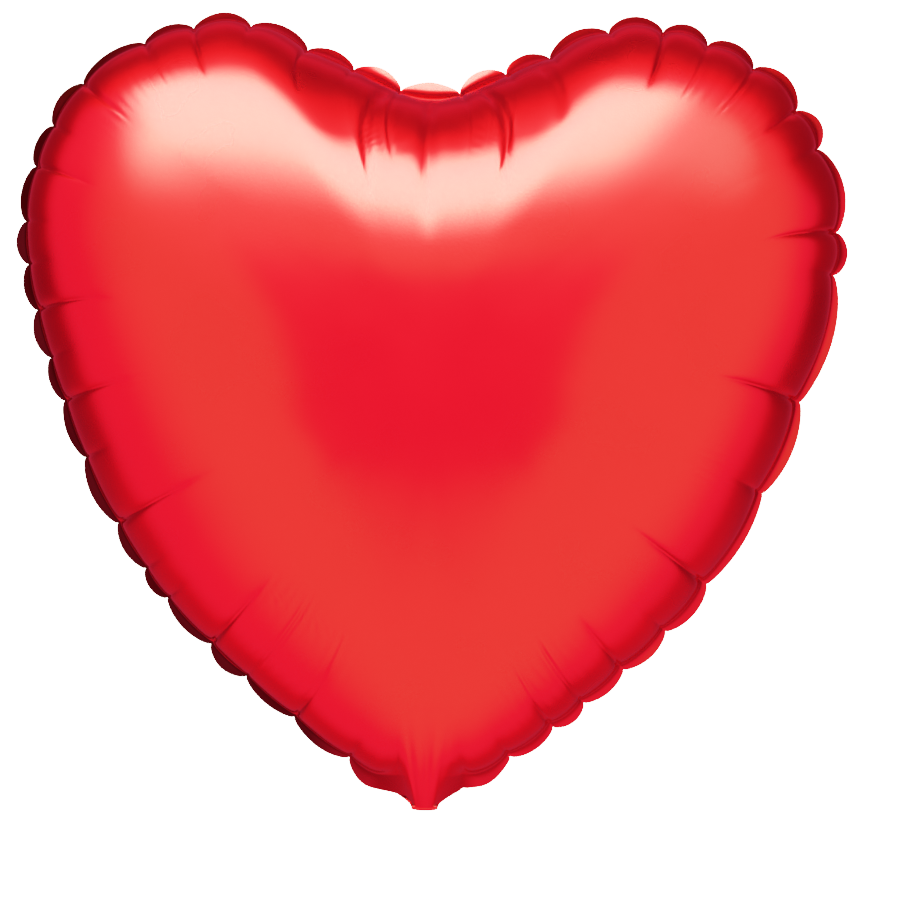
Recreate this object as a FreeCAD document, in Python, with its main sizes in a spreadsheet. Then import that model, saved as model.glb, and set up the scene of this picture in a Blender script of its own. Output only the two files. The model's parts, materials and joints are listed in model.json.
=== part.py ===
import FreeCAD, Part
import math
import os

import Sketcher

# Heart-shaped foil balloon, in millimetres, +Z up.
#
# The origin is at the root of the neck, on the crease where the tail folds. The front panel faces -Y,
# and +X is to the right of somebody who looks at the front. The two foil panels meet face to face on
# the plane Y = 0, in a flat welded seam that runs all the way round. The tail is the same two foils,
# carried on below the heart's tip. It is folded up behind the back panel, and turns on its crease.
#
# The real films are a few hundredths of a millimetre thick. They are drawn thicker here so that each
# is a solid.

SIZES = [
    # alias, size, what it is
    ("foil", 0.6, "drawn thickness of a foil panel"),
    ("film", 0.3, "drawn thickness of one clear valve film"),
    ("seam_width", 6.0, "flat welded flange outside the seam line"),
    ("crown_depth", 86.0, "from the seam plane to the middle of either panel"),
    ("crown_up", 205.0, "height of the middle of the panels"),
    ("crown_round", 150.0, "even reach that every line round the panel tends to near the crown"),
    ("tip_up", 14.0, "lowest point of the seam line"),
    ("heel_across", 30.0, "seam line beside the tip"),
    ("heel_up", 20.0, "seam line beside the tip"),
    ("taper_across", 85.0, "seam line, lower flank"),
    ("taper_up", 62.0, "seam line, lower flank"),
    ("flank_across", 129.0, "seam line, middle of the flank"),
    ("flank_up", 108.0, "seam line, middle of the flank"),
    ("waist_across", 165.0, "seam line, upper flank"),
    ("waist_up", 177.0, "seam line, upper flank"),
    ("hip_across", 187.0, "seam line, where the heart is widest"),
    ("hip_up", 268.0, "seam line, where the heart is widest"),
    ("shoulder_across", 160.0, "seam line, outer corner of a lobe"),
    ("shoulder_up", 334.0, "seam line, outer corner of a lobe"),
    ("lobe_across", 97.0, "seam line, top of a lobe"),
    ("lobe_up", 361.0, "seam line, top of a lobe"),
    ("dip_across", 45.0, "seam line, between a lobe and the cleft"),
    ("dip_up", 343.0, "seam line, between a lobe and the cleft"),
    ("cleft_up", 327.0, "seam line, bottom of the cleft"),
    ("neck_half", 6.5, "half the width of the neck at the crease"),
    ("neck_shoulder_half", 16.0, "half the width of the neck where it meets the seam"),
    ("neck_up", 12.0, "height of the neck, from the crease into the seam"),
    ("valve_root_half", 5.0, "half the width of the valve films at the crease"),
    ("valve_half", 12.0, "half the width of the valve films"),
    ("valve_flare_up", 16.0, "where the valve films reach their full width"),
    ("valve_up", 95.0, "upper, open end of the valve films"),
    ("crease_gap", 0.15, "from the crease to the films on either side of it"),
    ("tail_half", 17.5, "half the width of the tail"),
    ("tail_flare", 14.0, "where the tail reaches its full width"),
    ("tail_length", 64.0, "from the crease to the tail's end"),
    ("tail_corner", 10.0, "radius of the tail's end corners"),
    ("channel_half", 14.5, "half the width of the channel between the plies, inside the welded edge"),
    ("channel_straight", 53.0, "where the channel starts to narrow towards the tail's end"),
    ("channel_end_half", 8.0, "half the width of the channel's closed end"),
    ("channel_length", 61.0, "from the crease to the channel's closed end"),
    ("inlet_flare", 14.0, "where the films in the tail reach their full width"),
    ("inlet_length", 34.0, "lower, open end of the films in the tail"),
    ("port_radius", 6.0, "inflation port in the front ply of the tail"),
    ("port_along", 46.0, "from the crease to the middle of the port"),
    ("fold_angle", 135.0, "degrees from hanging straight down to folded up behind"),
]

# How quickly each point of the seam line runs in towards the crown as the panel rises: 1 gives an
# even dome, and more gives the flatter slope that a panel has over a narrow corner.
OUTLINE = [
    # across, up, run-in
    (None, "tip_up", 2.0),
    ("heel_across", "heel_up", 2.0),
    ("taper_across", "taper_up", 1.75),
    ("flank_across", "flank_up", 1.4),
    ("waist_across", "waist_up", 1.2),
    ("hip_across", "hip_up", 1.2),
    ("shoulder_across", "shoulder_up", 1.3),
    ("lobe_across", "lobe_up", 1.2),
    ("dip_across", "dip_up", 1.0),
    (None, "cleft_up", 0.95),
]

# Degrees round the panel's rise at which it is drawn, from the seam, where it stands upright, to the
# crown.
RISE_STEPS = [0, 8, 18, 30, 43, 56, 69, 81, 87]

# How strongly a line round the panel runs level at the tip and at the cleft, as a share of its half
# width.
END_PULL = 0.15

# Right-hand corners of the flat pieces, each as its (across, up) cells.
VALVE_CORNERS = [
    ("valve_root_half", "crease_gap"),
    ("valve_half", "valve_flare_up"),
    ("valve_half", "valve_up"),
]
INLET_CORNERS = [
    ("valve_root_half", "crease_gap"),
    ("valve_half", "inlet_flare"),
    ("valve_half", "inlet_length"),
]
TAIL_CORNERS = [
    ("neck_half", "crease_gap"),
    ("tail_half", "tail_flare"),
    ("tail_half", "tail_length"),
]
CHANNEL_CORNERS = [
    ("valve_root_half", "crease_gap"),
    ("channel_half", "tail_flare"),
    ("channel_half", "channel_straight"),
    ("channel_end_half", "channel_length"),
]
NECK_CORNERS = [
    ("neck_half", "crease_gap"),
    ("neck_shoulder_half", "neck_up"),
]

doc = FreeCAD.newDocument("heart_foil_balloon")
sheet = doc.addObject("Spreadsheet::Sheet", "sizes")
for row, (alias, size, note) in enumerate(SIZES, start=1):
    sheet.set(f"A{row}", note)
    sheet.set(f"B{row}", str(size))
    sheet.setAlias(f"B{row}", alias)
doc.recompute()


def size_of(alias):
    return float(getattr(sheet, alias))


def half_section(rise, inset, side):
    """The right half of one closed line round the panel, shut along X = 0.

    Rise is in degrees, and inset is how far the line lies inside the panel's outer face."""
    low = math.cos(math.radians(rise))
    crown = FreeCAD.Vector(0, 0, size_of("crown_up"))
    depth = side * (size_of("crown_depth") - inset) * math.sin(math.radians(rise))
    points = []
    for across, up, run_in in OUTLINE:
        reach = FreeCAD.Vector(size_of(across) if across else 0.0, 0, size_of(up)) - crown
        length = (reach.Length - inset) * low + size_of("crown_round") * (1 - low)
        length = length * low ** (1 + (run_in - 1) * low)
        point = crown + reach.normalize() * length
        points.append(FreeCAD.Vector(point.x, depth, point.z))
    width = max(point.x for point in points)
    line = Part.BSplineCurve()
    line.interpolate(
        Points=points,
        Parameters=[float(i) for i in range(len(points))],
        InitialTangent=FreeCAD.Vector(width * END_PULL, 0, 0),
        FinalTangent=FreeCAD.Vector(-width * END_PULL, 0, 0),
        Scale=False,
    )
    return Part.Wire([line.toShape(), Part.LineSegment(points[-1], points[0]).toShape()])


def whole(half):
    """A shape on the right, joined with its mirror image on the left."""
    return half.fuse(half.mirror(FreeCAD.Vector(0, 0, 0), FreeCAD.Vector(1, 0, 0)))


def dome(inset, side):
    """The solid inside a panel, at the given distance inside its outer face."""
    return whole(Part.makeLoft([half_section(rise, inset, side) for rise in RISE_STEPS], True, False))


def corner_loop(corners):
    """The (across, up) corners on the right, then their mirror images on the left."""
    right = [(size_of(across), size_of(up)) for across, up in corners]
    return right + [(-x, z) for x, z in reversed(right)]


def plate(corners, depth):
    """A flat plate with the given outline, from the seam plane to the given Y."""
    points = [FreeCAD.Vector(x, 0, z) for x, z in corner_loop(corners)]
    face = Part.Face(Part.makePolygon(points + points[:1]))
    return face.extrude(FreeCAD.Vector(0, depth, 0))


def foil_panel(name, side):
    """One foil panel: a thin dome with half of the welded seam and half of the neck.

    Side is -1 for the front."""
    foil = size_of("foil")
    film = size_of("film")
    flange = Part.Face(half_section(0, -size_of("seam_width"), side))
    flange = whole(flange.extrude(FreeCAD.Vector(0, side * foil, 0)))
    neck = plate(NECK_CORNERS, side * (foil + film))
    valve = plate(VALVE_CORNERS, side * film)
    panel = dome(0.0, side).fuse([flange, neck]).cut([dome(foil, side), valve]).removeSplitter()
    feature = doc.addObject("Part::Feature", name)
    feature.Label = name
    feature.Shape = panel
    feature.Placement = FreeCAD.Placement()
    return feature


def origin_plane(body, role):
    for feature in body.Origin.OriginFeatures:
        if feature.Role == role:
            return feature
    raise ValueError(f"{body.Name} has no {role}")


def outline_sketch(body, role, name, corners):
    """A closed outline, mirrored about the sketch's upright axis.

    Corners are the (across, up) cells of its right side."""
    sketch = body.newObject("Sketcher::SketchObject", name)
    sketch.AttachmentSupport = [(origin_plane(body, role), "")]
    sketch.MapMode = "FlatFace"
    loop = [FreeCAD.Vector(x, y, 0) for x, y in corner_loop(corners)]
    count = len(loop)
    for i in range(count):
        sketch.addGeometry(Part.LineSegment(loop[i], loop[(i + 1) % count]), False)
    for i in range(count):
        sketch.addConstraint(Sketcher.Constraint("Coincident", i, 2, (i + 1) % count, 1))
    for i, cells in enumerate(corners):
        sketch.addConstraint(Sketcher.Constraint("Symmetric", i, 1, count - 1 - i, 1, -2))
        for kind, cell in zip(("DistanceX", "DistanceY"), cells):
            index = sketch.addConstraint(Sketcher.Constraint(kind, -1, 1, i, 1, size_of(cell)))
            sketch.setExpression(f"Constraints[{index}]", f"sizes.{cell}")
    return sketch


def flat_piece(name, role, corners, thickness, turned):
    """A flat piece of film: its outline on one of its origin planes, padded along the plane's normal,
    or against it when turned."""
    body = doc.addObject("PartDesign::Body", name)
    body.Label = name
    sketch = outline_sketch(body, role, f"{name}_outline", corners)
    pad = body.newObject("PartDesign::Pad", f"{name}_pad")
    pad.Profile = sketch
    pad.setExpression("Length", thickness)
    pad.Reversed = turned
    sketch.Visibility = False
    doc.recompute()
    return body


def crease_back():
    """How far the crease lies behind the seam plane: just off the back face of the neck."""
    return size_of("foil") + size_of("film") + size_of("crease_gap")


def tail_placement():
    """Where the tail lies at rest.

    Drawn flat, its length runs along its own Y from the crease, and its own Z is the side that faces
    back when it hangs. It turns up about the crease, which runs along X just behind the neck."""
    across = FreeCAD.Vector(1, 0, 0)
    crease = FreeCAD.Vector(0, crease_back(), 0)
    hanging = FreeCAD.Placement(FreeCAD.Vector(), FreeCAD.Rotation(across, -90))
    fold = FreeCAD.Rotation(across, size_of("fold_angle"))
    return FreeCAD.Placement(FreeCAD.Vector(), fold, crease).multiply(hanging)


def valve_film(name, behind):
    """A clear film of the valve, from the crease up inside the heart."""
    body = flat_piece(name, "XZ_Plane", VALVE_CORNERS, "sizes.film", behind)
    body.Placement = FreeCAD.Placement()
    return body


def inlet_film(name, behind):
    """The lower end of a valve film, inside the tail."""
    body = flat_piece(name, "XY_Plane", INLET_CORNERS, "sizes.film", not behind)
    body.Placement = tail_placement()
    return body


def end_corners(feature):
    """The names of the two upright edges at the tail's end."""
    names = []
    for i, edge in enumerate(feature.Shape.Edges, start=1):
        upright = abs(edge.tangentAt(edge.FirstParameter).z) > 0.99
        if upright and edge.CenterOfMass.y > size_of("tail_length") - 0.01:
            names.append(f"Edge{i}")
    return names


def cut_into(body, name, sketch, depth, behind):
    """A pocket from the seam side of a ply of the tail. Returns how much film it took away."""
    before = body.Shape.Volume
    pocket = body.newObject("PartDesign::Pocket", name)
    pocket.Profile = sketch
    pocket.setExpression("Length", depth)
    pocket.Reversed = behind
    sketch.Visibility = False
    doc.recompute()
    return before - body.Shape.Volume


def tail_ply(name, behind):
    """A ply of the tail: full thickness in the weld round its edge, thinner inside it."""
    body = flat_piece(name, "XY_Plane", TAIL_CORNERS, "sizes.foil + sizes.film", not behind)
    pad = body.Tip
    rounded = body.newObject("PartDesign::Fillet", f"{name}_corners")
    rounded.Base = (pad, end_corners(pad))
    rounded.setExpression("Radius", "sizes.tail_corner")
    doc.recompute()
    channel = outline_sketch(body, "XY_Plane", f"{name}_channel_outline", CHANNEL_CORNERS)
    removed.append(cut_into(body, f"{name}_channel", channel, "sizes.film", behind))
    body.Placement = tail_placement()
    return body


def inflation_port(body):
    """The round hole in the front ply, through which the heart is filled."""
    sketch = body.newObject("Sketcher::SketchObject", "inflation_port_outline")
    sketch.AttachmentSupport = [(origin_plane(body, "XY_Plane"), "")]
    sketch.MapMode = "FlatFace"
    centre = FreeCAD.Vector(0, size_of("port_along"), 0)
    sketch.addGeometry(Part.Circle(centre, FreeCAD.Vector(0, 0, 1), size_of("port_radius")), False)
    sketch.addConstraint(Sketcher.Constraint("PointOnObject", 0, 3, -2))
    along = sketch.addConstraint(Sketcher.Constraint("DistanceY", -1, 1, 0, 3, centre.y))
    radius = sketch.addConstraint(Sketcher.Constraint("Radius", 0, size_of("port_radius")))
    sketch.setExpression(f"Constraints[{along}]", "sizes.port_along")
    sketch.setExpression(f"Constraints[{radius}]", "sizes.port_radius")
    removed.append(cut_into(body, "inflation_port", sketch, "sizes.foil + sizes.film", False))


removed = []
sub_parts = [
    foil_panel("front_panel", -1),
    foil_panel("back_panel", 1),
    valve_film("valve_front_film", False),
    valve_film("valve_back_film", True),
    tail_ply("tail_front_ply", False),
    tail_ply("tail_back_ply", True),
    inlet_film("valve_inlet_front_film", False),
    inlet_film("valve_inlet_back_film", True),
]
inflation_port(doc.getObject("tail_front_ply"))
doc.recompute()

if min(removed) <= 0:
    raise RuntimeError("a pocket in the tail cut nothing")
for feature in doc.Objects:
    if {"Invalid", "Error"} & set(feature.State):
        raise RuntimeError(f"{feature.Label} did not compute: {feature.State}")
for part in sub_parts:
    if part.Shape.isNull() or not part.Shape.isValid():
        raise RuntimeError(f"{part.Label} has no valid shape")

os.makedirs("parts", exist_ok=True)
for part in sub_parts:
    part.Shape.exportStep(os.path.join("parts", f"{part.Label}.step"))
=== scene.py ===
import json
import math
from math import pi

import bpy
import numpy as np
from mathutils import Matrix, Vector


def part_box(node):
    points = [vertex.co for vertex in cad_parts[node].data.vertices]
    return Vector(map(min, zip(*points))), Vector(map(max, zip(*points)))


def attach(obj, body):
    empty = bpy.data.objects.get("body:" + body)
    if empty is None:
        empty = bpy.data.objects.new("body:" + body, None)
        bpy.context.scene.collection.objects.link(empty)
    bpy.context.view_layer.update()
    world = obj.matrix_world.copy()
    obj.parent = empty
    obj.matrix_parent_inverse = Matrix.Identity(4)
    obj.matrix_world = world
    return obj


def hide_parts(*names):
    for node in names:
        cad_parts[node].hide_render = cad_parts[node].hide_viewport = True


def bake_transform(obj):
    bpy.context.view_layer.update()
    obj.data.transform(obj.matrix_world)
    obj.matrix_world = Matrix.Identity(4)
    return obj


# A heart-shaped balloon of metallised red film, full of gas. Two foil panels are welded face to face
# in a flat flange all round. The film has more length round the flange than the full heart needs, so
# the flange puckers into scallops, and a fold runs in from each pucker. Below the tip the foils are
# gathered into a neck and carry on as the filling tail, which is folded up behind the heart.
#
# Metres, +Z up. The front panel faces -Y. "Along" is a place round the seam, from 0 at the tip, up
# the right side to 0.5 at the cleft, and down the left side to 1. "Reach" is a place across a panel,
# from 0 at its middle to 1 at the seam. The share of a side is counted from the cleft to the tip.

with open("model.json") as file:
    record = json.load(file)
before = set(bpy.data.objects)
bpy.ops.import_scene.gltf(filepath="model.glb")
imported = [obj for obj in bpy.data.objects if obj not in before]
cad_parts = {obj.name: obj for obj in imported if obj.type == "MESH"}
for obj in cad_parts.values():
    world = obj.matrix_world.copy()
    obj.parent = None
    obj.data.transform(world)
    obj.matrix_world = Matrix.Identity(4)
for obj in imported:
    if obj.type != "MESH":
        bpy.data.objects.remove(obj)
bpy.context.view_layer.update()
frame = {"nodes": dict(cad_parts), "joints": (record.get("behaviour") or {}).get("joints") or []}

MM = 0.001
FRONT, BACK = -1, 1

PANEL_LOW, PANEL_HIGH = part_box("front_panel")
HALF_WIDTH = PANEL_HIGH[0]
HEIGHT = PANEL_HIGH[2]
DEPTH = -PANEL_LOW[1]

# ----------------------------------------------------------------------------------------------------
# The seam line and its puckers

# Right half of the seam line, from the tip to the cleft, as shares of the panel's half width and
# height. Run-in is how quickly the panel's slope runs in from that point to the middle. The inner
# line is the shape that the panel's level lines soon take inside the seam: the film spans the cleft
# almost straight.
SEAM = [
    # across, up, run-in, inner across, inner up
    (0.000, 0.038, 2.0, 0.000, 0.038),
    (0.156, 0.055, 2.0, 0.156, 0.055),
    (0.441, 0.169, 1.75, 0.441, 0.169),
    (0.669, 0.295, 1.4, 0.669, 0.295),
    (0.856, 0.484, 1.2, 0.856, 0.484),
    (0.970, 0.732, 1.2, 0.970, 0.732),
    (0.830, 0.912, 1.3, 0.830, 0.912),
    (0.503, 0.986, 1.2, 0.520, 0.984),
    (0.234, 0.937, 1.0, 0.248, 0.924),
    (0.000, 0.893, 0.95, 0.000, 0.898),
]
# Columns of the seam's table, once it has been sampled.
ACROSS, UP, RUN_IN, INNER_ACROSS, INNER_UP, OUT_ACROSS, OUT_UP = range(7)
SEAM_SAMPLES = 6000

# The middle of a panel: how far up it is, and the radius of the round level lines there.
MIDDLE_UP = 0.56 * HEIGHT
MIDDLE_RADIUS = 0.150

# Puckers down each side: the share of that side, and how deep each one is.
PUCKERS_RIGHT = [
    (0.022, 0.7), (0.062, 0.6), (0.099, 0.5), (0.150, 0.7), (0.194, 0.8), (0.231, 0.7), (0.272, 0.7),
    (0.320, 0.8), (0.355, 0.7), (0.423, 1.3), (0.457, 0.4), (0.561, 1.3), (0.639, 0.8), (0.723, 1.3),
    (0.772, 0.6), (0.817, 1.0), (0.858, 0.5), (0.889, 0.8), (0.930, 0.7), (0.966, 0.9),
]
PUCKERS_LEFT = [
    (0.027, 0.7), (0.068, 0.7), (0.108, 0.5), (0.157, 0.9), (0.203, 0.8), (0.244, 0.9), (0.302, 0.9),
    (0.343, 0.7), (0.378, 0.8), (0.422, 0.6), (0.456, 0.7), (0.493, 1.1), (0.532, 0.5), (0.568, 1.1),
    (0.616, 0.8), (0.674, 1.3), (0.716, 0.5), (0.745, 0.7), (0.795, 1.2), (0.833, 0.5), (0.883, 1.2),
    (0.937, 0.8), (0.972, 0.9),
]

# Long folds that run in over the front panel: side (1 right, -1 left), share of that side, then
# length, depth and width in mm.
FOLDS = [
    (1, 0.194, 36, 1.4, 2.3), (1, 0.320, 24, 0.8, 2.0), (1, 0.423, 44, 1.3, 2.2),
    (1, 0.561, 48, 1.5, 2.3), (1, 0.723, 50, 1.5, 2.3), (1, 0.817, 36, 1.2, 2.2),
    (1, 0.889, 20, 0.8, 2.0), (-1, 0.108, 34, 0.9, 2.0), (-1, 0.203, 30, 0.8, 2.0),
    (-1, 0.302, 26, 0.7, 2.0), (-1, 0.378, 34, 0.8, 2.0), (-1, 0.493, 44, 1.2, 2.2),
    (-1, 0.568, 38, 1.1, 2.1), (-1, 0.674, 56, 1.4, 2.3), (-1, 0.795, 46, 1.4, 2.3),
    (-1, 0.883, 38, 1.1, 2.1),
]

# The soft folds of the cleft, which spread as they run down from it: the same, then how far each one
# leans out, in mm for each mm that it runs in.
CLEFT_FOLDS = [
    (1, 0.036, 78, 2.7, 2.7, 0.36), (1, 0.085, 52, 1.5, 2.7, 0.30), (-1, 0.002, 72, 2.6, 2.0, 0.0),
    (-1, 0.034, 74, 2.6, 2.7, 0.28),
]

# Bands of fine parallel wrinkles on both panels: side, first and last share of that side, how far in
# the band starts and ends in mm, and the wrinkles' height in mm.
RIPPLES = [
    (1, 0.000, 0.080, 4, 40, 0.18), (1, 0.17, 0.36, 4, 36, 0.12), (1, 0.57, 0.72, 10, 44, 0.05),
    (1, 0.74, 0.81, 4, 26, 0.12), (1, 0.81, 0.94, 2, 44, 0.30), (-1, 0.000, 0.070, 4, 42, 0.26),
    (-1, 0.17, 0.36, 4, 34, 0.09), (-1, 0.48, 0.62, 12, 50, 0.05), (-1, 0.77, 0.92, 6, 56, 0.24),
]
RIPPLE_LENGTH = 5.2 * MM


def smooth(value):
    """A smooth step from 0 to 1."""
    value = np.clip(value, 0, 1)
    return value * value * (3 - 2 * value)


def arch(f, power):
    """A hump over a scallop, f being how far across it a place is."""
    return np.sin(pi * np.clip(f, 0, 1)) ** power


def closed_curve(points, count):
    """A smooth closed curve through the points, sampled evenly in its own parameter."""
    points = np.array(points, float)
    place = np.linspace(0, len(points), count, endpoint=False)
    before = np.floor(place).astype(int)
    f = (place - before)[:, None]
    p0, p1, p2, p3 = (points[(before + step) % len(points)] for step in (-1, 0, 1, 2))
    return 0.5 * (2 * p1 + (p2 - p0) * f + (2 * p0 - 5 * p1 + 4 * p2 - p3) * f**2
                  + (3 * p1 - p0 - 3 * p2 + p3) * f**3)


EVEN = np.linspace(0, 1, SEAM_SAMPLES, endpoint=False)


def seam_table():
    """The seam line sampled evenly along its length, with its outward normal, and its length."""
    right = np.array(SEAM) * [HALF_WIDTH, HEIGHT, 1, HALF_WIDTH, HEIGHT]
    left = right[-2:0:-1] * [-1, 1, 1, -1, 1]
    curve = closed_curve(np.vstack([right, left]), 4 * SEAM_SAMPLES)
    steps = np.linalg.norm(np.roll(curve[:, :2], -1, axis=0) - curve[:, :2], axis=1)
    length = steps.sum()
    travelled = np.concatenate([[0], np.cumsum(steps)[:-1]]) / length
    table = np.stack([np.interp(EVEN, travelled, curve[:, k], period=1) for k in range(5)], axis=1)
    tangent = np.roll(table[:, :2], -1, axis=0) - np.roll(table[:, :2], 1, axis=0)
    tangent /= np.linalg.norm(tangent, axis=1)[:, None]
    return np.hstack([table, np.stack([tangent[:, 1], -tangent[:, 0]], axis=1)]), length


SEAM_TABLE, SEAM_LENGTH = seam_table()


def seam(along, column):
    """A column of the seam's table at places round the seam."""
    return np.interp(along, EVEN, SEAM_TABLE[:, column], period=1)


def along_of(side, share):
    """The place round the whole seam of a share of one side."""
    return (0.5 - side * 0.5 * share) % 1


PUCKERS = sorted(
    [(along_of(1, share), depth) for share, depth in PUCKERS_RIGHT]
    + [(along_of(-1, share), depth) for share, depth in PUCKERS_LEFT]
)
PUCKER_AT = np.array([along for along, _ in PUCKERS])


def between_puckers(along):
    """Which scallop each place is in, how far across it from 0 to 1, and the scallop's length."""
    along = np.asarray(along) % 1
    scallop = (np.searchsorted(PUCKER_AT, along, side="right") - 1) % len(PUCKERS)
    first = PUCKER_AT[scallop]
    length = (np.roll(PUCKER_AT, -1)[scallop] - first) % 1
    return scallop, ((along - first) % 1) / length, length * SEAM_LENGTH


def seam_distance(along, place):
    """Signed distance round the seam from a place, in metres."""
    return ((along - place + 0.5) % 1 - 0.5) * SEAM_LENGTH


def seam_frame(along):
    """The seam's point, and its outward direction in the seam plane."""
    point = np.stack([seam(along, ACROSS), 0 * along, seam(along, UP)], axis=1)
    outward = np.stack([seam(along, OUT_ACROSS), 0 * along, seam(along, OUT_UP)], axis=1)
    return point, outward


# ----------------------------------------------------------------------------------------------------
# The mesh that each foil is laid out on

# Cells along each side of the square middle, rings round it, and how far out the middle reaches.
DISC_CELLS = 208
DISC_RINGS = 58
CORE_REACH = 0.62
RELAXING_ROUNDS = 160
# How strongly the lines of the mesh crowd round puckers and folds, and how near a fold's foot may be
# to a pucker before they share a line.
CROWDING = 0.55
SAME_FOOT = 5 * MM


def grid_quads(index):
    """The quads of a grid of points, given by their numbers."""
    corners = [index[:-1, :-1], index[:-1, 1:], index[1:, 1:], index[1:, :-1]]
    return np.stack(corners, axis=-1)


def ring_quads(loop, new_loop):
    """The quads between a closed loop of points and the next one out."""
    return np.stack([loop, new_loop, np.roll(new_loop, -1), np.roll(loop, -1)], axis=-1)


def disc():
    """A round sheet of quads with a square middle: its points, faces, and the loop at its rim."""
    n = DISC_CELLS
    line = np.linspace(-1, 1, n + 1)
    x, y = np.meshgrid(line, line)
    core = np.stack([x * np.sqrt(1 - y**2 / 2), y * np.sqrt(1 - x**2 / 2)], axis=-1) * CORE_REACH
    points = [core.reshape(-1, 2)]
    index = np.arange((n + 1) ** 2).reshape(n + 1, n + 1)
    faces = [grid_quads(index).reshape(-1, 4)]
    loop = np.concatenate([index[0, :-1], index[:-1, -1], index[-1, :0:-1], index[:0:-1, 0]])
    inner = points[0][loop]
    turn = -3 * pi / 4 + 2 * pi * np.arange(4 * n) / (4 * n)
    outer = np.stack([np.cos(turn), np.sin(turn)], axis=1)
    count = (n + 1) ** 2
    for ring in range(1, DISC_RINGS + 1):
        share = ring / DISC_RINGS
        points.append(inner * (1 - share) + outer * share)
        new_loop = count + np.arange(4 * n)
        count += 4 * n
        faces.append(ring_quads(loop, new_loop))
        loop = new_loop
    faces = np.vstack(faces)
    return relaxed(np.vstack(points), faces, loop), faces, loop


def relaxed(points, faces, fixed):
    """The points, each moved to the middle of its neighbours over and over, so the quads are even."""
    edges = np.vstack([faces[:, [k, (k + 1) % 4]] for k in range(4)])
    edges = np.unique(np.sort(edges, axis=1), axis=0)
    both = np.concatenate([edges[:, 0], edges[:, 1]])
    other = np.concatenate([edges[:, 1], edges[:, 0]])
    neighbours = np.bincount(both, minlength=len(points))
    held = points[fixed].copy()
    for _ in range(RELAXING_ROUNDS):
        sums = [np.bincount(both, weights=points[other, k], minlength=len(points)) for k in (0, 1)]
        points = np.stack(sums, axis=1) / neighbours[:, None]
        points[fixed] = held
    return points


def snapped(along):
    """The places round the seam, shifted so that lines of the mesh start at the puckers and folds and
    crowd round them."""
    lines = 4 * DISC_CELLS
    feet = np.array([along_of(hand, share) for hand, share, *_ in FOLDS + CLEFT_FOLDS])
    apart = np.abs((feet[:, None] - PUCKER_AT + 0.5) % 1 - 0.5).min(axis=1) * SEAM_LENGTH
    feet = np.sort(np.concatenate([PUCKER_AT, feet[apart > SAME_FOOT]]))
    nearest = np.round(feet * lines) / lines
    nearest = np.concatenate([nearest - 1, nearest, nearest + 1])
    wanted = np.concatenate([feet - 1, feet, feet + 1])
    before = np.clip(np.searchsorted(nearest, along, side="right") - 1, 0, len(nearest) - 2)
    f = (along - nearest[before]) / (nearest[before + 1] - nearest[before])
    f = f - CROWDING * np.sin(2 * pi * f) / (2 * pi)
    return wanted[before] + f * (wanted[before + 1] - wanted[before])


# ----------------------------------------------------------------------------------------------------
# The heart's foils: a dome with pillows, puckers, folds and ripples, a flange, and the neck

# The level lines have the inner line's shape from here inwards, measured as 1 - cos of the rise.
INNER_RISE = 0.25
# The pucker's own short fold, its depth and how far in it runs. A fold's effect ends NEAR_FOLD away.
PUCKER_FOLD_DEPTH = 1.1 * MM
PUCKER_FOLD_RUN = 8 * MM
NEAR_FOLD = 25 * MM
# The back has the front's folds mirrored, and this much further along each side.
BACK_SHIFT = 0.013
# The weld: the dents die away within WELD_EDGE of it, and a scallop's swing within SCALLOP_RUN.
WELD_EDGE = 2.5 * MM
SCALLOP_RUN = 11 * MM


def dome(along, reach):
    """The smooth dome of a panel: across, outward from the seam's plane, up, and the distance in from
    the seam as seen from straight in front."""
    rise = (1 - reach) * pi / 2
    low = np.cos(rise)
    inner = smooth((1 - low) / INNER_RISE)
    run_in = seam(along, RUN_IN)
    across = seam(along, ACROSS) * (1 - inner) + seam(along, INNER_ACROSS) * inner
    up = seam(along, UP) * (1 - inner) + seam(along, INNER_UP) * inner
    full = np.hypot(across, up - MIDDLE_UP)
    length = (full * low + MIDDLE_RADIUS * (1 - low)) * low ** (1 + (run_in - 1) * low)
    share = length / full
    across, up = across * share, MIDDLE_UP + (up - MIDDLE_UP) * share
    in_plane = np.hypot(across - seam(along, ACROSS), up - seam(along, UP))
    return across, DEPTH * np.sin(rise), up, in_plane


def dome_point(along, reach, side):
    """The smooth dome's point on the front or the back."""
    across, out, up, _ = dome(along, reach)
    return np.stack([across, side * out, up], axis=1)


def dome_normal(along, reach, side):
    """Outward normals of the smooth dome, from small steps each way."""
    step = 0.0015
    near = np.clip(reach, 0.02, 1 - step)
    run = dome_point(along, near + step, side) - dome_point(along, near - step, side)
    turn = dome_point((along + step) % 1, near, side) - dome_point((along - step) % 1, near, side)
    normal = np.cross(run, turn)
    normal /= np.maximum(np.linalg.norm(normal, axis=1), 1e-12)[:, None]
    return normal * np.where(normal[:, 1] * side < 0, -1, 1)[:, None]


def scallop_values(seed, low, high):
    """One seeded number for each scallop."""
    return np.random.default_rng(seed).uniform(low, high, len(PUCKERS))


# Each scallop's swing to the front or back in turn, its flange's width, and its own change of lean in
# degrees. The flange is TIP_FLANGE wider beside the neck.
SWAY = scallop_values(3, 0.4, 1.3) * np.where(np.arange(len(PUCKERS)) % 2, 1, -1) * MM
FLANGE = scallop_values(7, 7.0, 8.4) * MM
TIP_FLANGE = 6 * MM
LEAN_CHANGE = scallop_values(5, -6, 6)

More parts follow.
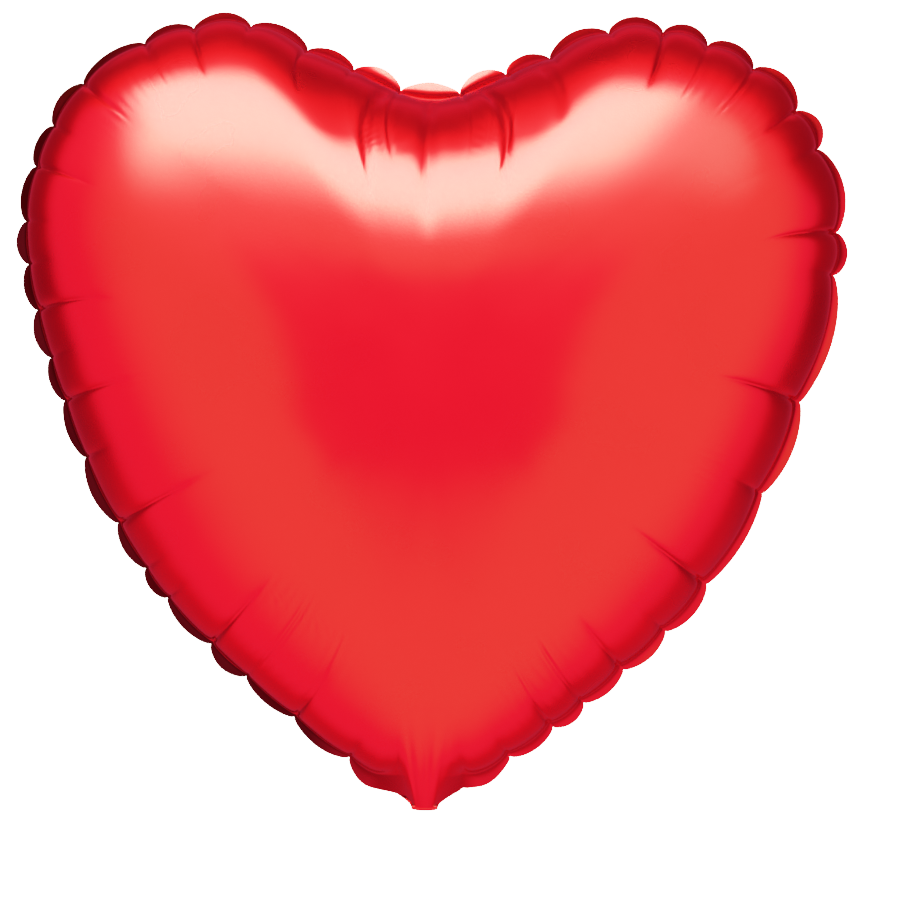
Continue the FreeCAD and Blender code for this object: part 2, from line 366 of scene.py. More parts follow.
# How the flange and its scallops change round the seam: how far it leans back in degrees, how far the
# scallops push the weld out in mm, how much painted shade darkens the flange's colour and gloss, how
# many steps of easing the corner between panel and flange gets, and the flange's width at the puckers
# in mm. The painted shade is strongest down the left side.
ROUND = np.array([
    # along, lean, push, dark, easing, pinched
    (0.000, 38, 1.6, 0.3, 12, 2.4), (0.050, 42, 1.6, 0.2, 12, 4.4), (0.200, 38, 1.6, 0.3, 12, 4.4),
    (0.300, 39, 3.0, 0.3, 12, 2.4), (0.360, 40, 3.0, 0.35, 12, 1.8), (0.440, 50, 2.6, 0.3, 14, 1.8),
    (0.462, 46, 1.6, 0.1, 24, 1.8), (0.474, 27, 1.2, 0.0, 34, 1.8), (0.526, 27, 1.2, 0.0, 34, 1.8),
    (0.538, 46, 1.6, 0.1, 24, 1.8), (0.580, 52, 2.4, 0.3, 12, 1.8), (0.640, 50, 1.2, 0.9, 6, 1.8),
    (0.700, 46, 0.6, 1.0, 4, 1.8), (0.950, 46, 0.6, 1.0, 4, 1.8), (0.980, 42, 1.6, 0.5, 8, 1.8),
    (1.000, 38, 1.6, 0.3, 12, 2.4),
])
LEAN, PUSH, DARK, EASING, PINCHED = range(1, 6)


def round_seam(along, column):
    """A column of the table above at places round the seam."""
    return np.interp(along, ROUND[:, 0], ROUND[:, column])


def fold_profile(distance, width):
    """A valley across a fold, steeper on one side than on the other, with a narrow round bottom."""
    away = distance / np.where(distance > 0, 0.7 * width, 1.3 * width)
    return np.exp(0.2 - np.sqrt(away**2 + 0.2**2))


def folds_on(side, folds):
    """A side's folds: the front's own, or the same ones mirrored and moved along for the back."""
    if side == FRONT:
        return folds
    return [(-hand, (share + BACK_SHIFT) % 1, *size) for hand, share, *size in folds]


def fold_fade(distance_in, length):
    """A fold at its full depth for the first two fifths of its length, and none at its end."""
    return smooth(1.7 * (1 - distance_in / (length * MM)))


def dents(along, inward, in_plane, side):
    """How far the film dips, in metres, at a place round the seam. Inward is the distance in from the
    seam over the film, and in_plane is the same as seen from straight in front."""
    _, f, scallop_length = between_puckers(along)
    pillow = 0.020 * round_seam(along % 1, PUSH) * scallop_length * arch(f, 0.8)
    dip = -pillow * np.exp(-inward / (0.45 * scallop_length))
    for place, depth in PUCKERS:
        distance = seam_distance(along, place)
        near = np.abs(distance) < NEAR_FOLD
        d, s = distance[near], in_plane[near]
        run = np.exp(-((s / PUCKER_FOLD_RUN) ** 2))
        dip[near] += depth * PUCKER_FOLD_DEPTH * fold_profile(d, 0.8 * MM + 0.12 * s) * run
    for hand, share, length, depth, width in folds_on(side, FOLDS):
        distance = seam_distance(along, along_of(hand, share))
        near = np.abs(distance) < NEAR_FOLD
        d, s = distance[near], in_plane[near]
        fade = fold_fade(s, length)
        # A crisp line runs down the middle of the fold, and starts a quarter of the way in.
        crisp = fade * smooth(s / (0.25 * length * MM))
        dip[near] += 0.7 * depth * MM * fold_profile(d, width * MM) * fade
        dip[near] += 0.45 * depth * MM * fold_profile(d, 0.3 * width * MM) * crisp
    for hand, share, length, depth, width, lean in folds_on(side, CLEFT_FOLDS):
        distance = seam_distance(along, along_of(hand, share)) + hand * lean * in_plane
        near = np.abs(distance) < NEAR_FOLD
        d, s = distance[near], in_plane[near]
        valley = np.exp(-((d / (width * MM)) ** 2))
        dip[near] += 0.7 * depth * MM * valley * fold_fade(s, length) * smooth(s / (9 * MM))
    for hand, first, last, start, end, height in RIPPLES:
        half = (last - first) / 4 * SEAM_LENGTH
        distance = seam_distance(along, along_of(hand, (first + last) / 2))
        window = smooth((half - np.abs(distance)) / half)
        window *= smooth((in_plane - start * MM) / (8 * MM))
        window *= smooth((end * MM - in_plane) / (16 * MM))
        # Two lengths of wave together, and a slow shift of the first, keep the wrinkles uneven.
        wave = np.cos(2 * pi * distance / RIPPLE_LENGTH + 1.2 * np.sin(distance / (11 * MM)))
        wave += 0.7 * np.cos(2 * pi * distance / (0.68 * RIPPLE_LENGTH) + 1.7)
        dip += height * MM * window * wave
    return dip


def foot_shift(along, reach):
    """From a point's own place round the seam to the place that a fold through it would leave the
    seam from. Every fold leaves the seam square to it, while a point's own line runs straight to the
    middle of the panel."""
    point, outward = seam_frame(along)
    tangent = np.stack([-outward[:, 2], outward[:, 0]], axis=1)
    to_middle = np.stack([-point[:, 0], MIDDLE_UP - point[:, 2]], axis=1)
    to_middle /= np.linalg.norm(to_middle, axis=1)[:, None]
    slant = (to_middle * tangent).sum(axis=1)
    # The cleft turns too sharply for its folds to run on square to it.
    length = (45 - 29 * smooth((0.10 - np.abs(along % 1 - 0.5)) / 0.05)) * MM
    return slant * length * np.tanh(dome(along, reach)[3] / length) / SEAM_LENGTH


# The neck: the film within NECK_REACH of the tip, round the seam, runs on down to the fold. It joins
# the flange by NECK_SIDE. It leaves the dome at NECK_TOP, and NECK_SHARE of its run is inside the
# seam line. At its end it is a flat tube: half its width, half its thickness, how far round the seam
# its two foils part, and its height.
NECK_REACH = 11 * MM
NECK_SIDE = 23 * MM
NECK_TOP = 0.72
NECK_SHARE = 0.62
NECK_FOOT = 6.2 * MM
NECK_THICK = 1.3 * MM
NECK_EDGE = 13 * MM
NECK_END = -0.3 * MM
# Its pleats: how far each is from the tip in mm, and how deep it is as a share of PLEAT_DEPTH.
PLEATS = [(-9.0, 1.0), (1.8, 1.2), (12.5, 1.0)]
PLEAT_DEPTH = 1.5 * MM
PLEAT_WIDTH = 2.6 * MM


def pleats(from_tip):
    """How far the gathered neck dips at each of its pleats, from 0 to about 1."""
    return sum(depth * fold_profile(from_tip - place * MM, PLEAT_WIDTH) for place, depth in PLEATS)


def neck_weight(from_tip):
    """How far the film is the neck's, from 1 near the tip to 0 where the flange starts."""
    return smooth((NECK_SIDE - np.abs(from_tip)) / (NECK_SIDE - NECK_REACH))


def neck_points(along, t, side):
    """The film as it runs from the dome, at t = 0, down the neck to the fold, at t = 1."""
    top = np.full(len(along), NECK_TOP)
    start = dome_point(along, top, side)
    run = start - dome_point(along, top - 0.01, side)
    run /= np.linalg.norm(run, axis=1)[:, None]
    from_tip = seam_distance(along, 0)
    turn = np.clip(from_tip / NECK_SIDE, -1, 1)
    thick = NECK_THICK * np.sqrt(np.clip(1 - (from_tip / NECK_EDGE) ** 2, 0.02, 1))
    end = np.stack([NECK_FOOT * np.sin(turn * pi / 2), side * thick, NECK_END + 0 * turn], axis=1)
    reach = np.linalg.norm(end - start, axis=1)[:, None]
    down = end - start + np.array([0, -0.25 * side, 0.1]) * reach
    # A cubic curve that leaves along the dome and arrives along the neck.
    c = t[:, None]
    points = ((2 * c**3 - 3 * c**2 + 1) * start + (c**3 - 2 * c**2 + c) * run * reach
              + (3 * c**2 - 2 * c**3) * end + (c**3 - c**2) * down)
    gathered = pleats(from_tip) * smooth(t / 0.7) * (1 - smooth((t - 0.7) / 0.3))
    points[:, 1] -= side * PLEAT_DEPTH * gathered
    return points


def panel_points(along, reach, side):
    """The film inside the weld: the smooth dome with its pillows, folds and ripples."""
    base = dome_point(along, reach, side)
    in_plane = dome(along, reach)[3]
    inward = np.hypot(in_plane, base[:, 1])
    _, outward = seam_frame(along)
    foot = along + foot_shift(along, reach)
    scallop, f, _ = between_puckers(along)
    fade = np.exp(-inward / SCALLOP_RUN)
    shared = outward * (round_seam(along, PUSH) * MM * (arch(f, 0.7) - 0.5) * fade)[:, None]
    shared[:, 1] += SWAY[scallop] * arch(f, 0.8) * fade
    # The two foils meet at the weld, so the dents die away in the last few millimetres.
    dip = dents(foot, inward, in_plane, side) * smooth(inward / WELD_EDGE)
    film = base - dome_normal(along, reach, side) * dip[:, None] + shared
    t = np.clip((reach - NECK_TOP) / (1 - NECK_TOP), 0, 1)
    neck = (neck_weight(seam_distance(along, 0)) * smooth(t / 0.12))[:, None]
    return film * (1 - neck) + neck_points(along, NECK_SHARE * t, side) * neck


def flange_points(along, share, side):
    """The film outside the weld, share being 0 at the weld and 1 at the cut edge. At the tip it is
    the neck."""
    weld = np.ones(len(along))
    start = panel_points(along, weld, side)
    _, outward = seam_frame(along)
    from_tip = seam_distance(along, 0)
    scallop, f, _ = between_puckers(along)
    pinched = round_seam(along, PINCHED) * MM
    width = pinched + (FLANGE[scallop] - pinched) * arch(f, 0.6)
    width += TIP_FLANGE * smooth((38 * MM - np.abs(from_tip)) / (20 * MM))
    tilt = np.radians(round_seam(along, LEAN) + LEAN_CHANGE[scallop] * arch(f, 0.8))
    cut = start + outward * (width * np.cos(tilt))[:, None]
    # Beside the neck the foils stand apart at the weld, and their cut edges come together again.
    cut[:, 1] = (start[:, 1] + panel_points(along, weld, -side)[:, 1]) / 2
    cut[:, 1] += width * np.sin(tilt) + side * 0.08 * MM
    film = start + (cut - start) * share[:, None]
    film[:, 1] += 0.12 * MM * np.sin(pi * share) * np.sign(LEAN_CHANGE[scallop]) * arch(f, 1)
    neck = neck_weight(from_tip)[:, None]
    t = NECK_SHARE + (1 - NECK_SHARE) * share
    return film * (1 - neck) + neck_points(along, t, side) * neck


# Lines of the mesh across the flange, rings of the panel that the easing reaches, and rounds of
# bending the mesh's lines.
FLANGE_LINES = 8
EASED_RINGS = 11
BENDING_ROUNDS = 8


def new_piece(name, points, faces):
    """A smooth-shaded object in the scene."""
    mesh = bpy.data.meshes.new(name)
    mesh.from_pydata(points.tolist(), [], faces if isinstance(faces, list) else faces.tolist())
    mesh.validate()
    mesh.shade_smooth()
    piece = bpy.data.objects.new(name, mesh)
    bpy.context.scene.collection.objects.link(piece)
    return piece


def foil(name, side):
    """One foil of the heart, from its middle out to the cut edge and down the neck."""
    flat, faces, rim = disc()
    reach = np.clip(np.linalg.norm(flat, axis=1), 0, 1)
    reach[rim] = 1
    even = ((np.arctan2(flat[:, 1], flat[:, 0]) + pi / 2) / (2 * pi)) % 1
    from_middle = smooth((reach - 0.15) / 0.25)
    lines = even + (snapped(even) - even) * from_middle
    # Each line of the mesh is bent to run as a fold would run from its foot.
    along = lines
    for _ in range(BENDING_ROUNDS):
        along = 0.3 * along + 0.7 * (lines - foot_shift(along % 1, reach) * from_middle)
    along = along % 1
    points = [panel_points(along, reach, side)]
    quads = [faces]
    count, loop = len(flat), rim
    for line in range(1, FLANGE_LINES + 1):
        share = np.full(len(rim), line / FLANGE_LINES)
        points.append(flange_points(along[rim], share, side))
        new_loop = count + np.arange(len(rim))
        count += len(rim)
        quads.append(ring_quads(loop, new_loop))
        loop = new_loop
    points, quads = np.vstack(points), np.vstack(quads)
    ease_corner(points, len(flat), len(rim), round_seam(along[rim], EASING)[:, None])
    # The disc's faces turn towards +Y once its points stand up, so the front foil's are reversed.
    piece = new_piece(name, points, quads if side == FRONT else quads[:, ::-1])
    # Painted shade on the flange: each flange point carries how far the film's colour is darkened
    # there, fading out beside the neck.
    dark = np.zeros(count)
    painted_shade = round_seam(along[rim], DARK) * (1 - neck_weight(seam_distance(along[rim], 0)))
    dark[len(flat):] = np.tile(painted_shade, FLANGE_LINES)
    piece.data.attributes.new("dark", "FLOAT", "POINT").data.foreach_set("value", dark)
    return piece


def ease_corner(points, panel_count, ring_count, steps):
    """Ease the corner between panel and flange along each line of the mesh, as the film can't turn
    sharply. On the left the flange is folded back hard; elsewhere the panel runs out into it."""
    ring = np.arange(ring_count)
    inside = [panel_count - (line + 1) * ring_count + ring for line in range(EASED_RINGS)]
    outside = [panel_count + line * ring_count + ring for line in range(FLANGE_LINES)]
    lines = np.stack(inside[::-1] + outside)
    for step in range(int(steps.max()) + 1):
        amount = np.clip(steps - step, 0, 1)
        before, here, after = points[lines[:-2]], points[lines[1:-1]], points[lines[2:]]
        points[lines[1:-1]] = here + amount * (0.25 * (before + after) - 0.5 * here)


front_foil = foil("front_foil", FRONT)
back_foil = foil("back_foil", BACK)


# ----------------------------------------------------------------------------------------------------
# The tail: two plies that carry on from the neck, go round the fold, and lie up behind the heart

# The fold turns about the hinge's axis, which is PIVOT_Y behind the neck's middle.
PIVOT_Y = frame["joints"][0]["pos_m"][1]
FOLD_ANGLE = math.radians(135)
TAIL_HALF = 17.5 * MM
TAIL_FLARE = 14 * MM
TAIL_LENGTH = 64 * MM
TAIL_CORNER = 10 * MM
# The inflation port: how far along the tail, its radius, and that of the raised lip round it.
PORT_ALONG = 46 * MM
PORT_RADIUS = 6 * MM
PORT_LIP = 7.6 * MM
# The tail's top edge laps this far into the end of the neck. Its film is drawn this thick.
LAP = 0.9 * MM
FILM = 0.1 * MM

# The ply is a grid of cells. The rows round the port are bent from squares to circles: the hole is
# PORT_CELLS from the middle, and the bending ends at ROUNDED_CELLS.
HALF_CELLS = 18
CELL = TAIL_HALF / HALF_CELLS
PORT_CELLS = 6
ROUNDED_CELLS = 11


def tail_half(a):
    """Half the tail's width at a distance along it from the fold."""
    flare = NECK_FOOT + (TAIL_HALF - NECK_FOOT) * smooth(a / TAIL_FLARE)
    end = np.clip((a - (TAIL_LENGTH - TAIL_CORNER)) / TAIL_CORNER, 0, 1)
    return flare - TAIL_CORNER * (1 - np.sqrt(1 - end**2))


def along_fold(a, out):
    """The Y and Z of a point at a distance along the tail, and out from the middle of its plies."""
    arc = PIVOT_Y * FOLD_ANGLE
    turn = np.clip((a + arc) / arc, 0, 1) * FOLD_ANGLE
    before = np.clip(-arc - a, 0, None)
    after = np.clip(a, 0, None)
    radius = PIVOT_Y + out
    y = PIVOT_Y - radius * np.cos(turn) + after * np.sin(turn)
    z = -radius * np.sin(turn) - after * np.cos(turn) + before
    return y, z


def tail_foil(name, outer):
    """One ply of the tail. The outer ply faces away from the heart and has the inflation port."""
    across_cells = np.arange(-HALF_CELLS, HALF_CELLS + 1)
    first = -int((PORT_ALONG + PIVOT_Y * FOLD_ANGLE + LAP) / CELL)
    last = (TAIL_LENGTH - PORT_ALONG) / CELL
    along_cells = np.concatenate([np.arange(first, int(last) + 1), [last]])
    i, j = np.meshgrid(across_cells, along_cells)
    x, a = i * CELL, j * CELL
    ring = np.maximum(np.abs(x), np.abs(a))
    distance = np.hypot(x, a)
    round_off = smooth((ROUNDED_CELLS * CELL - ring) / (5 * CELL)) if outer else 0 * x
    scale = (ring * PORT_RADIUS / (PORT_CELLS * CELL)) / np.maximum(distance, 1e-9)
    x = x * (1 + round_off * (scale - 1))
    a = a * (1 + round_off * (scale - 1)) + PORT_ALONG
    share = x / TAIL_HALF
    half = tail_half(a)
    x = share * half
    edge = half - np.abs(x)

    # The gathers of the neck run out into it, and its two plies stand a little apart.
    gather = np.cos(share * 3.2 * pi) * 0.2 * MM * np.exp(-np.clip(a, 0, None) / (13 * MM))
    gather *= smooth(a / (4 * MM))
    puff = 0.75 * MM * smooth((edge - 2.6 * MM) / (5 * MM))
    puff *= smooth((TAIL_LENGTH - 3 * MM - a) / (8 * MM)) * smooth(a / (8 * MM))
    round_neck = 1.08 * MM * np.sqrt(np.clip(1 - share**2, 0, 1)) * smooth(1 - a / (12 * MM))
    gap = 0.18 * MM + puff * 0.6 + round_neck
    # A slow wave and a slanting crease go through both plies.
    wave = 0.5 * MM * np.sin(a / (11 * MM) + 1.3 * share) * smooth(a / (20 * MM))
    crease = 0.25 * MM * fold_profile(x - 0.25 * (a - 30 * MM), 1.2 * MM) * smooth(a / (18 * MM))
    if outer:
        # The ribs of the heat seal down each edge, and a raised lip round the port.
        hem = 0.05 * MM * np.cos(2 * pi * a / (1.6 * MM)) * smooth((2.8 * MM - edge) / (0.4 * MM))
        hem *= smooth(a / TAIL_FLARE)
        port = np.hypot(x, a - PORT_ALONG)
        lip = 0.22 * MM * np.exp(-(((port - PORT_LIP) / (0.7 * MM)) ** 2))
        out = gap + gather * smooth(1 - np.abs(share)) + lip + hem + wave - crease
    else:
        out = -np.minimum(gap, 0.8 * MM) + wave - crease
    y, z = along_fold(a, out)
    points = np.stack([x, y, z], axis=-1).reshape(-1, 3)
    faces = grid_quads(np.arange(x.size).reshape(x.shape))
    if outer:
        from_port = np.maximum(np.abs(i[:-1, :-1] + 0.5), np.abs(j[:-1, :-1] + 0.5))
        faces = faces[from_port > PORT_CELLS]
    faces = faces.reshape(-1, 4)
    return new_piece(name, points, faces[:, ::-1] if outer else faces)


tail_front_foil = tail_foil("tail_front_foil", True)
tail_back_foil = tail_foil("tail_back_foil", False)
for ply in (tail_front_foil, tail_back_foil):
    film = ply.modifiers.new("film", "SOLIDIFY")
    film.thickness = FILM
    film.offset = -1
    film.material_offset = 1
    film.material_offset_rim = 1


# ----------------------------------------------------------------------------------------------------
# Materials

# The film's red, and what it tends to at a grazing angle. Inside, the film is silver.
RED = (0.80, 0.020, 0.030, 1)
RED_EDGE = (1.0, 0.08, 0.12, 1)
SILVER = (0.80, 0.80, 0.79, 1)
WHITE = (1, 1, 1, 1)
# Painted shade: the film's colour is multiplied by this where the flange is painted darkest.
PAINTED_SHADE_TINT = (0.13, 0.60, 0.10, 1)


def add_node(tree, kind, inputs=(), **settings):
    """A new node with its settings, and its inputs linked to sockets or set to values."""
    node = tree.nodes.new(kind)
    for key, value in settings.items():
        setattr(node, key, value)
    for socket, value in dict(inputs).items():
        plug(tree, value, node.inputs[socket])
    return node


def plug(tree, value, socket):
    """Link a socket to an input, or set the input to a value."""
    if isinstance(value, bpy.types.NodeSocket):
        tree.links.new(value, socket)
    else:
        socket.default_value = value


class Nodes:
    """A material's node tree, built one node at a time."""

    def __init__(self, name):
        self.material = bpy.data.materials.new(name)
        self.material.use_nodes = True
        self.tree = self.material.node_tree
        self.shader = self.tree.nodes["Principled BSDF"]

    def add(self, kind, inputs=(), **settings):
        return add_node(self.tree, kind, inputs, **settings)

    def set(self, **inputs):
        for name, value in inputs.items():
            plug(self.tree, value, self.shader.inputs[name.replace("_", " ")])

    def noise(self, scale, detail):
        place = self.tree.nodes.get("Texture Coordinate")
        place = place or self.tree.nodes.new("ShaderNodeTexCoord")
        inputs = {"Vector": place.outputs["Object"], "Scale": scale, "Detail": detail}
        return self.add("ShaderNodeTexNoise", inputs).outputs["Fac"]

    def ramp(self, factor, stops):
        node = self.add("ShaderNodeValToRGB", {"Fac": factor})
        for element, (position, colour) in zip(node.color_ramp.elements, stops):
            element.position = position
            element.color = colour
        return node.outputs["Color"]

    def span(self, value, start, end, **limits):
        inputs = {"Value": value, "To Min": start, "To Max": end}
        inputs.update({key.replace("_", " "): limit for key, limit in limits.items()})
        return self.add("ShaderNodeMapRange", inputs).outputs["Result"]

    def multiply(self, first, second):
        node = self.add("ShaderNodeVectorMath", {0: first, 1: second}, operation="MULTIPLY")
        return node.outputs["Vector"]

    def bump(self, height, strength, distance):
        inputs = {"Height": height, "Strength": strength, "Distance": distance}
        return self.add("ShaderNodeBump", inputs).outputs["Normal"]


def foil_material(name, colour, edge, coat, rough):
    """Metallised film under a clear glossy face, with the faint grain and haze of real film. On the
    flange it is painted browner and less glossy, a painted shade set by the dark attribute."""
    m = Nodes(name)
    haze = m.noise(22, 3)
    grain = m.noise(900, 1)
    shade = tuple(0.93 * c for c in colour[:3]) + (1,)
    # Painted shade: the flange's dark attribute browns the colour and thins the glossy coat.
    dark = m.add("ShaderNodeAttribute", attribute_name="dark").outputs["Fac"]
    hazy = m.ramp(haze, [(0.35, shade), (0.65, colour)])
    painted_shade = m.ramp(dark, [(0.0, WHITE), (1.0, PAINTED_SHADE_TINT)])
    m.set(
        Base_Color=m.multiply(hazy, painted_shade),
        Metallic=1.0,
        Roughness=m.span(haze, rough - 0.03, rough + 0.03, From_Min=0.3, From_Max=0.7),
        Coat_Weight=m.span(dark, coat, 0.3 * coat),
        Coat_Roughness=0.11,
        Coat_IOR=1.5,
        Specular_Tint=edge,
        Normal=m.bump(grain, 0.15, 0.0002),
    )
    return m.material


def clear_material(name):
    """The valve's clear film, slightly cloudy."""
    m = Nodes(name)
    cloudy = m.noise(60, 2)
    m.set(
        Base_Color=m.ramp(cloudy, [(0.3, (0.86, 0.88, 0.9, 1)), (0.7, (0.95, 0.96, 0.97, 1))]),
        Roughness=0.22,
        Transmission_Weight=0.9,
        IOR=1.5,
        Alpha=0.85,
        Normal=m.bump(cloudy, 0.2, 0.0005),
    )
    return m.material


red_foil = foil_material("red_foil", RED, RED_EDGE, 1.0, 0.29)
silver_film = foil_material("silver_inside", SILVER, WHITE, 0.3, 0.38)
clear_film = clear_material("clear_film")

for piece in (front_foil, back_foil):
    piece.data.materials.append(red_foil)
for piece in (tail_front_foil, tail_back_foil):
    piece.data.materials.append(red_foil)
    piece.data.materials.append(silver_film)
# The valve's films show as they are in the CAD. The other nodes are replaced below.
for name, node in frame["nodes"].items():
    node.data.materials.clear()
    node.data.materials.append(clear_film if "valve" in name else red_foil)

# ----------------------------------------------------------------------------------------------------
# Which body each piece rides on

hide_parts("front_panel")
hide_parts("back_panel")
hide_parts("tail_front_ply")
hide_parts("tail_back_ply")
for piece in (front_foil, back_foil):
    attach(piece, "heart")
# The tail's pieces ride on no body: their placing is baked into their points.
for piece in (tail_front_foil, tail_back_foil):
    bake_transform(piece)

# ----------------------------------------------------------------------------------------------------
# Studio

scene = bpy.context.scene

# Colours and levels of the light. The room in front is warm, and cooler red towards its sides.
ROOM_COLOUR = (1.08, 0.76, 0.56, 1)
RED_SIDE_COLOUR = (0.98, 0.13, 0.41, 1)
REAR_COLOUR = (1.0, 0.09, 0.26, 1)
SOFTBOX_COLOUR = (1.0, 0.88, 0.66, 1)
CEILING_LEVEL = 0.32
REAR_LEVEL = 0.28
REAR_LOW_LEVEL = 0.52
REAR_TOP_LEVEL = 0.58
REAR_FAR_LEVEL = 0.40
SOFTBOX_LEVEL = 9.0
STRIP_LEVEL = 2.2
# Where the warm room and the softbox are centred, as azimuth and elevation in degrees, and how far
# the softbox's edges slant.
ROOM_CENTRE = (7, 0)
SOFTBOX_CENTRE = (-15, 52)
SOFTBOX_TILT = 0.15


def direction(azimuth, elevation):
    """The unit vector at an azimuth, 0 in front and positive to the right, and an elevation."""
    turn, rise = math.radians(azimuth), math.radians(elevation)
    return Vector((math.sin(turn) * math.cos(rise), -math.cos(turn) * math.cos(rise), math.sin(rise)))


def studio_world():
    """Light by direction: a warm room, bright in front and dim behind, with a large softbox high in
    front. A dim patch straight ahead is where the photographer stands."""
    world = bpy.data.worlds.new("studio")
    scene.world = world
    world.use_nodes = True
    tree = world.node_tree
    tree.nodes.clear()
    looking = add_node(tree, "ShaderNodeTexCoord").outputs["Generated"]
    x, y, z = add_node(tree, "ShaderNodeSeparateXYZ", {"Vector": looking}).outputs

    def combine(operation, *values):
        return add_node(tree, "ShaderNodeMath", enumerate(values), operation=operation).outputs[0]

    def product(first, *others):
        for value in others:
            first = combine("MULTIPLY", first, value)
        return first

    def opposite(value):
        return combine("SUBTRACT", 1.0, value)

    def span(value, low, high, start, end):
        inputs = {"Value": value, "From Min": low, "From Max": high, "To Min": start, "To Max": end}
        node = add_node(tree, "ShaderNodeMapRange", inputs, interpolation_type="SMOOTHSTEP")
        return node.outputs["Result"]

    def towards(vector):
        inputs = {0: looking, 1: vector}
        node = add_node(tree, "ShaderNodeVectorMath", inputs, operation="DOT_PRODUCT")
        return node.outputs["Value"]

    # The dim patch is wider at its top than at its foot.
    patch_half = span(z, -0.70, -0.25, 0.28, 0.50)
    patch = product(
        span(combine("SUBTRACT", combine("ABSOLUTE", x), patch_half), -0.06, 0.06, 1.0, 0.0),
        span(z, 0.28, 0.42, 1.0, 0.0), span(z, -0.71, -0.55, 0.0, 1.0), span(y, -0.4, -0.2, 1.0, 0.0))
    warm = product(span(towards(direction(*ROOM_CENTRE)), 0.13, 0.52, 0.0, 1.0),
                   span(z, 0.80, 0.93, 1.0, 0.0), opposite(patch))

    # The front light ends sooner overhead and high on the right than it does at the sides.
    high = combine("ADD", z, product(combine("MINIMUM", x, 0.0), 0.5))
    front = span(combine("ADD", y, span(high, 0.15, 0.50, 0.0, 0.28)), -0.04, 0.28, 1.0, 0.0)
    red = product(front, span(z, 0.86, 0.97, 1.0, CEILING_LEVEL), opposite(warm))
    overhead = product(
        span(y, 0.30, 0.75, CEILING_LEVEL, REAR_TOP_LEVEL), span(z, 0.40, 0.70, 0.0, 1.0),
        span(x, -0.75, -0.45, 0.0, 1.0), span(x, 0.55, 0.85, 1.0, 0.0))
    low = span(z, -0.60, -0.10, REAR_LOW_LEVEL, REAR_LEVEL)
    rear = combine("MAXIMUM", overhead, span(y, 0.60, 0.95, low, REAR_FAR_LEVEL))
    behind = product(opposite(front), rear)

    # The softbox is a rectangle square to its own direction, with soft edges and a dimmer strip on
    # its right. U is across it and v is up it.
    centre = direction(*SOFTBOX_CENTRE)
    right = Vector((0, 0, 1)).cross(centre).normalized()
    up = centre.cross(right)
    facing = towards(centre)
    u = combine("DIVIDE", towards(right), facing)
    level_v = combine("DIVIDE", towards(up), facing)
    v = combine("SUBTRACT", level_v, product(u, SOFTBOX_TILT))
    ahead = span(facing, 0.2, 0.3, 0.0, 1.0)
    tall = product(span(v, -0.42, -0.10, 0.0, 1.0), span(v, 0.28, 0.55, 1.0, 0.0))
    box = product(span(u, -0.86, -0.50, 0.0, 1.0), span(u, 0.60, 0.86, 1.0, 0.0))
    strip = product(span(u, 0.60, 0.86, 0.0, 1.0), span(u, 1.2, 2.1, 1.0, 0.0),
                    span(level_v, 0.28, 0.60, 1.0, 0.0))
    softbox = combine("ADD", product(box, SOFTBOX_LEVEL), product(strip, STRIP_LEVEL))
    softbox = product(softbox, tall, ahead)

    total = None
    for colour, level in ((ROOM_COLOUR, warm), (RED_SIDE_COLOUR, red), (REAR_COLOUR, behind),
                          (SOFTBOX_COLOUR, softbox)):
        inputs = {"Color": colour, "Strength": level}
        light = add_node(tree, "ShaderNodeBackground", inputs).outputs[0]
        if total is not None:
            light = add_node(tree, "ShaderNodeAddShader", {0: total, 1: light}).outputs[0]
        total = light
    add_node(tree, "ShaderNodeOutputWorld", {"Surface": total})


studio_world()

# The film's response: the light at each point of the curve, and the tone it gives.
WHITE_LEVEL = 4.0
TONES = [(0.0, 0.0), (0.08, 0.082), (0.3, 0.36), (0.45, 0.58), (0.6, 0.74), (0.8, 0.83), (1.1, 0.87),
         (2.0, 0.93), (3.2, 0.985), (4.0, 1.0)]


def film_response():
    """A soft shoulder, as a camera has: dark tones stay, and bright ones run together, not clip."""
    view = scene.view_settings
    view.view_transform = "Standard"
    view.use_curve_mapping = True
    curve = view.curve_mapping
    curve.white_level = (WHITE_LEVEL,) * 3
    points = curve.curves[3].points
    while len(points) < len(TONES):
        points.new(0.5, 0.5)
    for point, (light, tone) in zip(points, TONES):
        point.location = (light / WHITE_LEVEL, tone)
    curve.update()


film_response()

# The stage: how high its floor is, and its profile as radius and height above the floor.
FLOOR_UP = -0.10
STAGE_PROFILE = [(0.5, 0.0), (1.5, 0.0), (3.0, 0.0), (3.6, 0.08), (4.0, 0.35), (4.2, 0.9), (4.3, 1.8),
                 (4.3, 3.4)]
STAGE_SIDES = 96


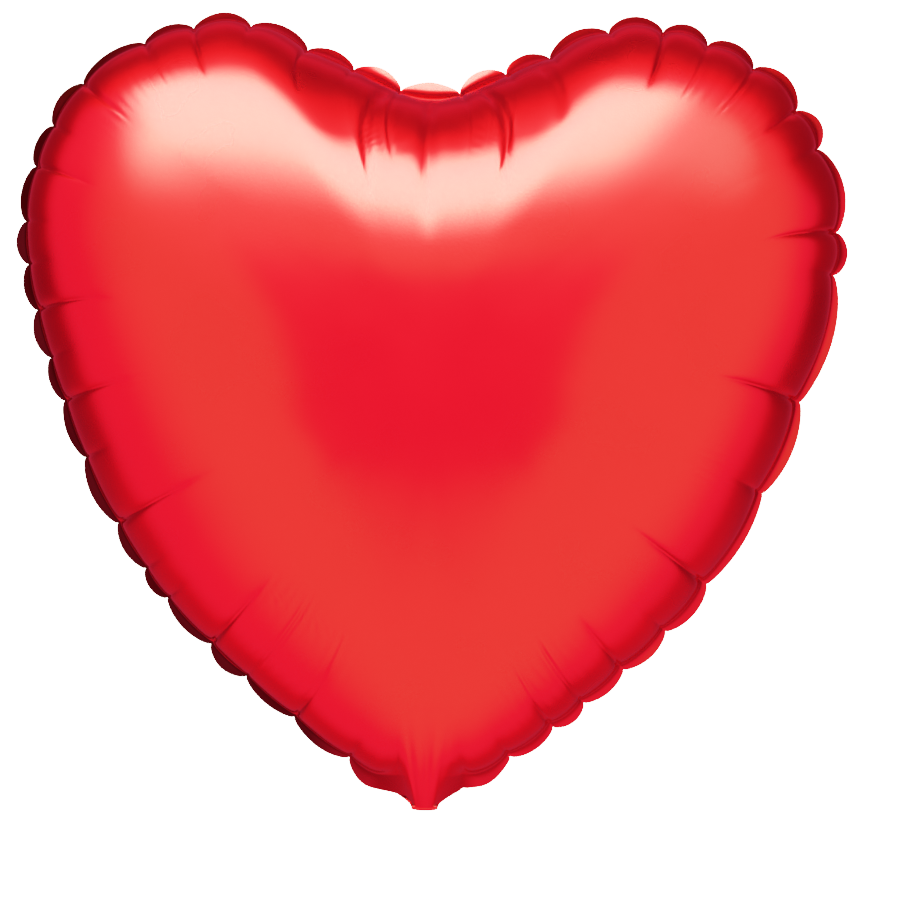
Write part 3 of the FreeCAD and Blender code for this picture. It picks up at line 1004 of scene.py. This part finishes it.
def round_stage():
    """A pale round floor whose far edge curves up into a pale wall all round. It gives light of its
    own, so that it shows as plain white paper, and it is left out of reflections."""
    turn = 2 * pi * np.arange(STAGE_SIDES) / STAGE_SIDES
    across, away = np.cos(turn), np.sin(turn)
    rings = [np.stack([radius * across, radius * away, 0 * turn + FLOOR_UP + up], axis=1)
             for radius, up in STAGE_PROFILE]
    points = np.vstack(rings + [np.array([[0, 0, FLOOR_UP]])])
    near = np.arange(STAGE_SIDES)
    after = (near + 1) % STAGE_SIDES
    strip = np.stack([near, near + STAGE_SIDES, after + STAGE_SIDES, after], axis=1)
    faces = np.vstack([strip + ring * STAGE_SIDES for ring in range(len(STAGE_PROFILE) - 1)]).tolist()
    faces += [[len(points) - 1, int(a), int(b)] for a, b in zip(near, after)]
    stage = new_piece("stage_floor", points, faces)
    m = Nodes("pale_floor")
    paper = m.ramp(m.noise(5, 2), [(0.3, (0.90, 0.90, 0.90, 1)), (0.7, (0.93, 0.93, 0.93, 1))])
    m.set(Base_Color=paper, Roughness=0.8, Emission_Color=WHITE, Emission_Strength=3.2)
    stage.data.materials.append(m.material)
    stage.visible_diffuse = False
    stage.visible_glossy = False
    stage.visible_transmission = False
    stage.visible_shadow = False


round_stage()

# The camera looks level from straight in front, turned by a fraction of a degree. The picture is
# VIEW_WIDTH wide at the plane of the seam, and its middle is off the lens's by shares of that width.
CAMERA_AWAY = 1.6
CAMERA_UP = 0.188
CAMERA_ROLL = math.radians(-0.7)
VIEW_WIDTH = 421.61 * MM
VIEW_SHIFT = (0.02854, -0.05488)
SENSOR_WIDTH = 36

camera_data = bpy.data.cameras.new("camera")
camera_data.sensor_width = SENSOR_WIDTH
camera_data.lens = SENSOR_WIDTH * CAMERA_AWAY / VIEW_WIDTH
camera_data.shift_x, camera_data.shift_y = VIEW_SHIFT
camera = bpy.data.objects.new("camera", camera_data)
camera.location = (0, -CAMERA_AWAY, CAMERA_UP)
camera.rotation_euler = (pi / 2, CAMERA_ROLL, 0)
scene.collection.objects.link(camera)
scene.camera = camera
